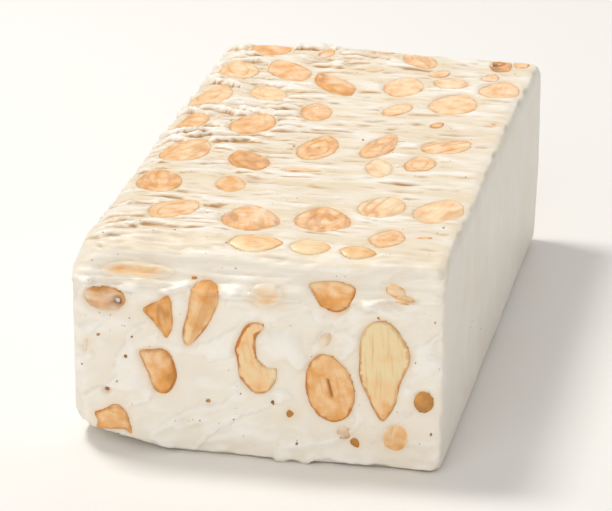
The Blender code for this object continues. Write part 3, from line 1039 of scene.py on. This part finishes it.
def whipped_nougat():
    """Whipped egg-white and honey nougat, cut when cold and moulded against wafer at the sides.

    It is a dense matt cream with tiny pores, darkened with painted shade, streaky where the knife
    dragged it, honey-coloured next to the roasted almonds, honey-coloured and darkened with painted
    shade in torn hollows and on the walls under the laps, whiter on crests, partly from fine air and
    partly as a painted highlight, and faintly ribbed and greyer, partly as painted shade, where it was
    moulded.
    """
    plain = {
        "IOR": 1.48,
        "Subsurface Weight": 0.1,
        "Subsurface Radius": (1.0, 0.8, 0.55),
        "Subsurface Scale": 1.6 * MM,
    }
    material, tree, shader = fresh_material("whipped nougat, cut and dragged", plain)
    place = add_node(tree, "ShaderNodeTexCoord")["Object"]
    read = {
        key: add_node(tree, "ShaderNodeAttribute", attribute_name=key)["Fac"]
        for key in ("moulded", "dragged", "hollow", "oiled", "crest_white_and_highlight")
    }

    # Batches of lighter and honeyed nougat fold into each other about every 16 mm. Drag streaks lie
    # along X, 11 mm long and 1.5 mm apart, with glossier, more honeyed patches between them. The wafer
    # and the frame left upright ribs 1.9 mm wide. The grain of the whipped sugar is near 0.1 mm and is
    # drawn 0.7 mm wide so that it shows.
    table = (
        ("folds", (16, 16, 16), {"Detail": 3, "Distortion": 0.8}, (0.35, 0.70), (0, 1)),
        ("drags", (11, 1.5, 6), {"Detail": 3}, (0.50, 0.78), (0, 1)),
        ("patches", (18, 6, 9), {"Detail": 4}, (0.34, 0.60), (0, 1)),
        ("ribs", (20, 1.9, 17), {"Detail": 4}, (0.42, 0.72), (0, 1)),
        ("sugar", (0.7, 0.7, 0.7), {"Detail": 4, "Roughness": 0.6}, (0, 1), (0, 1)),
    )
    pattern = cloudy_patterns(tree, place, MM, table)
    for name, where in (("drags", "dragged"), ("patches", "dragged"), ("ribs", "moulded")):
        shown = {0: pattern[name], 1: read[where]}
        pattern[name] = add_node(tree, "ShaderNodeMath", shown, operation="MULTIPLY")[0]

    # Pores are 0.2 to 0.4 mm wide in cells of 2.2 mm; the cell's own random value sets how wide.
    pores = add_node(tree, "ShaderNodeTexVoronoi", {"Vector": place, "Scale": 1 / (2.2 * MM)})
    pick = add_node(tree, "ShaderNodeSeparateColor", {"Color": pores["Color"]})["Red"]
    wide = add_node(tree, "ShaderNodeMapRange", {"Value": pick, "From Min": 0.55, "To Max": 0.11})[0]
    edge = add_node(tree, "ShaderNodeMath", {0: pores["Distance"], 1: wide}, operation="SUBTRACT")[0]
    sets_in = {"Value": edge, "From Min": -0.02, "From Max": 0.03, "To Min": 1.0, "To Max": 0.0}
    pore = add_node(tree, "ShaderNodeMapRange", sets_in)[0]

    # Torn hollows and the steep walls under the laps look like thin honey and are darkened with painted
    # shade; drawn-out crests hold fine air and are nearly white, partly as a painted highlight; oil from the
    # roasted almonds warms the nougat within a millimetre of them; the moulded sides are greyer in faint
    # ribs, partly as painted shade; and pores are dark with painted shade.
    layers = (
        (pattern["folds"], 0.0, 1.0, 1.0, "#F0E7D8"),
        (pattern["drags"], 0.0, 1.0, 0.42, "#CFA968"),
        (pattern["patches"], 0.0, 1.0, 0.66, "#E2CCA6"),
        # Honey tint and painted shade in torn hollows and on the walls under the laps.
        (read["hollow"], 0.0, 1.0, 0.95, "#B07C38"),
        # Whiter crests, partly from fine air and partly a painted highlight.
        (read["crest_white_and_highlight"], 0.0, 1.0, 0.85, "#FBF9F4"),
        (read["oiled"], 0.0, 1.0, 0.34, "#E6C48E"),
        # The faint ribs are the wafer's; the grey on the moulded sides is partly painted shade.
        (pattern["ribs"], 0.0, 1.0, 0.6, "#EBE7E0"),
        # Pores are darkened with painted shade in the pits.
        (pore, 0.0, 1.0, 0.5, "#B08550"),
    )
    colour = laid_over(tree, linear("#F5F0E6"), layers)
    sets_in = {"Value": pattern["sugar"], "From Min": 0.3, "From Max": 0.7, "To Min": 0.33, "To Max": 0.52}
    rough = add_node(tree, "ShaderNodeMapRange", sets_in)[0]
    parts = ((pattern["sugar"], 0.5), (pattern["drags"], -0.8), (pattern["ribs"], -0.15), (pore, -0.7))
    finished(tree, shader, colour, rough, parts, 0.6, 0.22 * MM)
    return material


def roasted_almond():
    """Blanched and roasted almond kernel, cut through by the knife.

    The cut is a waxy peach to golden face with fibres along the kernel, darker and more orange at
    the roasted rim, orange to brown with painted shade in grooves, slits and dents, and whitish where
    nougat was smeared over it.
    """
    plain = {
        "IOR": 1.47,
        "Subsurface Weight": 0.15,
        "Subsurface Radius": (1.0, 0.6, 0.3),
        "Subsurface Scale": 1.2 * MM,
    }
    material, tree, shader = fresh_material("roasted almond kernel, cut through", plain)
    read = {
        key: add_node(tree, "ShaderNodeAttribute", attribute_name=key)["Fac"]
        for key in ("tone", "film", "from_rim", "rim_shade", "hollow", "along", "across")
    }
    place = add_node(tree, "ShaderNodeCombineXYZ", {"X": read["along"], "Y": read["across"]})[0]

    # Roasting is uneven over 4 mm, fibres are 0.8 mm apart and about 9 mm long, the rim varies over
    # 2.2 mm and is darker over stretches of 6 mm, and smeared nougat is drawn out along the kernel.
    table = (
        ("mottle", (4, 4, 4), {"Detail": 3}, (0, 1), (0, 1)),
        ("fibres", (9, 0.8, 1), {"Detail": 3}, (0, 1), (0, 1)),
        ("rim width", (2.2, 2.2, 2.2), {"Detail": 2}, (0.3, 0.7), (0.5, 1.5)),
        ("toasted", (6, 6, 6), {"Detail": 2}, (0.36, 0.6), (0.15, 1)),
        ("smear", (7, 3, 1), {"Detail": 4}, (0, 1), (0, 1)),
    )
    pattern = cloudy_patterns(tree, place, 1, table)
    tint = {"Value": pattern["mottle"], "From Min": 0.3, "From Max": 0.7, "To Min": -0.22, "To Max": 0.22}
    tone = add_node(tree, "ShaderNodeMapRange", tint)[0]
    tone = add_node(tree, "ShaderNodeMath", {0: tone, 1: read["tone"]}, operation="ADD")[0]
    smear = add_node(tree, "ShaderNodeMath", {0: pattern["smear"], 1: read["film"]}, operation="ADD")[0]
    covers = {"Value": smear, "From Min": 0.78, "From Max": 1.15, "To Max": 0.92}
    smear = add_node(tree, "ShaderNodeMapRange", covers)[0]

    # The roasted outside shows as a rim 0.4 to 1.1 mm wide.
    part_of_rim = {0: read["from_rim"], 1: pattern["rim width"]}
    rim = add_node(tree, "ShaderNodeMath", part_of_rim, operation="DIVIDE")[0]
    fades = {"Value": rim, "From Min": 0.25, "From Max": 1.0, "To Min": 1.0, "To Max": 0.0}
    rim = add_node(tree, "ShaderNodeMapRange", fades, interpolation_type="SMOOTHSTEP")[0]
    for share in (pattern["toasted"], read["rim_shade"]):
        rim = add_node(tree, "ShaderNodeMath", {0: rim, 1: share}, operation="MULTIPLY")[0]

    # The tone goes from pale cream over peach and golden to brown. Over it come fibres, the rim, orange
    # in the grooves of rings and furrows, partly the kernel's own colour and partly painted shade, dark
    # brown painted shade in slits and deep hollows, and smeared nougat.
    layers = (
        (tone, 0.05, 0.32, 1.0, "#F6CD9A"),
        (tone, 0.32, 0.66, 1.0, "#E7A354"),
        (tone, 0.66, 1.0, 1.0, "#B4803F"),
        (pattern["fibres"], 0.52, 0.76, 0.4, "#D9954A"),
        (rim, 0.0, 1.0, 1.0, "#CC8033"),
        # Orange in grooves is partly the kernel's own colour and partly painted shade; brown in slits and
        # dents is painted shade.
        (read["hollow"], 0.0, 0.45, 1.0, "#CF8F48"),
        (read["hollow"], 0.5, 1.0, 1.0, "#74461F"),
        (smear, 0.0, 1.0, 1.0, "#F3E9D8"),
    )
    colour = laid_over(tree, linear("#F1DCAE"), layers)
    sets_in = {"Value": pattern["mottle"], "From Min": 0.3, "From Max": 0.7, "To Min": 0.28, "To Max": 0.42}
    rough = add_node(tree, "ShaderNodeMapRange", sets_in)[0]
    parts = ((pattern["fibres"], 0.7), (smear, 0.6))
    finished(tree, shader, colour, rough, parts, 0.5, 0.2 * MM)
    return material


def toasted_skin():
    """Crumbs of almond skin and scorched sugar: matt brown grains, some lighter where nougat coats them."""
    material, tree, shader = fresh_material("toasted almond skin, crumbled", {"IOR": 1.45})
    place = add_node(tree, "ShaderNodeTexCoord")["Object"]
    tone = add_node(tree, "ShaderNodeAttribute", attribute_name="tone")["Fac"]
    table = (("crumb", (0.4, 0.4, 0.4), {"Detail": 3}, (0, 1), (0, 1)),)
    crumb = cloudy_patterns(tree, place, MM, table)["crumb"]
    layers = ((tone, 0.0, 1.0, 1.0, "#CFA062"), (crumb, 0.45, 0.7, 1.0, "#7C4A20"))
    colour = laid_over(tree, linear("#9C6430"), layers)
    finished(tree, shader, colour, 0.6, ((crumb, 1.0),), 0.5, 0.1 * MM)
    return material


def painted_backdrop():
    """The pale matt board that the bar stands on."""
    plain = {"Base Color": linear("#F4F2EF"), "Roughness": 0.9, "Specular IOR Level": 0.1}
    return fresh_material("pale matt board", plain)[0]


# Putting the bar together.


def look_of(name):
    """An almond's look: its own entry, or a plain look with a little chance in it."""
    look = dict(PLAIN_LOOK)
    draw = random.Random(name)
    look["tone"] += draw.uniform(-0.12, 0.2)
    look["film"] += draw.uniform(-0.1, 0.15)
    look["rim"] += draw.uniform(-0.15, 0.25)
    if name not in ALMOND_LOOKS:
        look["rings"] = draw.choice((0.0, 0.0, 0.1, 0.15))
        look["furrows"] = draw.choice((0.0, 0.0, 0.15))
    look.update(ALMOND_LOOKS.get(name, {}))
    return look


def cut_almonds(material):
    """Replaces every packed almond by a finely made one.

    Gives back the outlines that the nougat is fitted to, and those of almonds that it veils.
    """
    seams, buried = [], []
    for number, node in enumerate(sorted(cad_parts)):
        if "almond" not in node:
            continue
        face = node.split("_")[0]
        look = look_of(node)
        if node in DRAWN_OUTLINES:
            outline = anticlockwise(np.array(DRAWN_OUTLINES[node]))
        else:
            outline = packed_outline(node, face)
        if face == "top":
            outline = pointed(outline, TOP_POINTED)
            look["rim"] *= TOP_RIM
        outline = roughened(evenly(outline), UNEVEN_RIM, number * 3.3)
        if look["buried"]:
            look.update({"dome": 0.10, "rise": 0.10})
            buried.append((face, outline))
        else:
            seams.append((face, outline, look["rise"]))
        part = inlay(face, outline, look, veiled=look["buried"] > 0)
        piece = made_piece(node + "_cut", [part], material)
        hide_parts(node)
    return seams, buried


def almond_flakes(material):
    """The small flakes, joined into one piece.

    Gives back the outlines that the nougat is fitted to, and those of flakes that only lie on it.
    """
    parts = []
    seams, laid_on = [], []
    for number, (face, a, b, length, width, turn, tone, film) in enumerate(FLAKES):
        outline = roughened(evenly(oval((a, b), length, width, turn)), 0.12 * width, number * 2.7)
        look = {**PLAIN_LOOK, "tone": tone, "film": film, "dome": 0.12, "rise": 0.08}
        let_in = face == "top" and width >= LET_IN_FROM
        parts.append(inlay(face, outline, look, veiled=not let_in))
        if let_in:
            seams.append((face, outline, look["rise"]))
        else:
            laid_on.append((face, outline))
    made_piece("almond_flakes", parts, material)
    return seams, laid_on


def underside_almonds(material):
    """Almonds cut flush in the underside, joined, with none at the broken corner."""
    draw = random.Random(7)
    parts = []
    columns, rows = UNDERSIDE_ROWS
    for column in range(columns):
        for row in range(rows):
            at = (
                (column - (columns - 1) / 2) * UNDERSIDE_SPACING[0] + draw.uniform(-4, 4),
                (row - (rows - 1) / 2) * UNDERSIDE_SPACING[1] + draw.uniform(-5, 5),
            )
            on_broken_corner = column == 0 and row == 0
            if on_broken_corner:
                continue
            length = draw.uniform(13, 22)
            outline = oval(at, length, length * draw.uniform(0.45, 0.62), draw.uniform(0, 180))
            outline = roughened(evenly(outline), UNDERSIDE_UNEVEN, 50 + len(parts))
            look = {**PLAIN_LOOK, "tone": draw.uniform(0.2, 0.6), "film": draw.uniform(0.1, 0.4)}
            look.update({"dome": 0.0, "rise": -0.02})
            parts.append(inlay("bottom", outline, look))
    return made_piece("underside_almonds", parts, material)


def build_bar():
    """Makes the almonds, then the nougat round them, then the specks where no almond lies."""
    nougat = whipped_nougat()
    almond = roasted_almond()
    seams, buried = cut_almonds(almond)
    flake_seams, laid_on = almond_flakes(almond)
    seams += flake_seams
    laid_on += buried
    skin = nougat_skin(seams, laid_on, nougat)
    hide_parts("nougat")
    underside_almonds(almond)
    taken = [(face, outline) for face, outline, _ in seams] + laid_on
    brown_specks(toasted_skin(), taken)


# The stage.

# Where the eye stands, what it looks at, its lens in mm and how far its head is tilted.
EYE = Vector((0.1716, -1.0078, 0.3666))
LOOKS_AT = Vector((-0.0042, -0.001, 0.0225))
LENS = 235
TILT = math.radians(1.1)

# Lamps: name, place, width in metres, power in watts and colour; then the room's own light.
LAMPS = (
    ("window from the upper left", (-0.42, 0.17, 0.95), 0.28, 5.9, "#FFFDF8"),
    ("soft fill from the front", (-0.12, -1.40, 0.75), 1.1, 7.2, "#FFFBF4"),
    ("bright wall behind", (0.2, 1.7, 0.75), 1.4, 4.5, "#FFFFFF"),
)
ROOM_COLOUR = "#FFFDFB"
ROOM_STRENGTH = 0.46

# Half the floor's width, and how far it lies under the bar so that the two don't touch, in metres.
FLOOR_REACH = 6.0
FLOOR_GAP = 0.1 * MM


def aimed(name, data, place, tilt=0.0):
    """Hangs a camera or a lamp at a place, turned towards what the eye looks at."""
    holder = bpy.data.objects.new(name, data)
    holder.location = place
    holder.rotation_mode = "QUATERNION"
    towards = (LOOKS_AT - Vector(place)).to_track_quat("-Z", "Y")
    holder.rotation_quaternion = towards @ Quaternion((0, 0, 1), tilt)
    bpy.context.scene.collection.objects.link(holder)
    return holder


def set_camera():
    eye = bpy.data.cameras.new("camera")
    eye.lens = LENS
    bpy.context.scene.camera = aimed("camera", eye, EYE, TILT)


def set_lamps():
    for name, place, width, power, colour in LAMPS:
        lamp = bpy.data.lights.new(name, "AREA")
        lamp.size = width
        lamp.energy = power
        lamp.color = linear(colour)[:3]
        aimed(name, lamp, place)
    world = bpy.data.worlds.new("pale room")
    world.use_nodes = True
    room = world.node_tree.nodes["Background"]
    room.inputs["Color"].default_value = linear(ROOM_COLOUR)
    room.inputs["Strength"].default_value = ROOM_STRENGTH
    bpy.context.scene.world = world
    bpy.context.scene.view_settings.view_transform = "Standard"


def set_floor():
    data = bpy.data.meshes.new("floor")
    corners = [(x * FLOOR_REACH, y * FLOOR_REACH, 0) for x, y in ((-1, -1), (1, -1), (1, 1), (-1, 1))]
    data.from_pydata(corners, [], [(0, 1, 2, 3)])
    data.materials.append(painted_backdrop())
    floor = bpy.data.objects.new("floor", data)
    floor.location.z = -FLOOR_GAP
    bpy.context.scene.collection.objects.link(floor)
    floor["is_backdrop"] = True


set_camera()
build_bar()
set_lamps()
set_floor()

boxes = {"cad": CAD_BOX, "visual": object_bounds()}
{name: [list(corner) for corner in box] for name, box in boxes.items()}
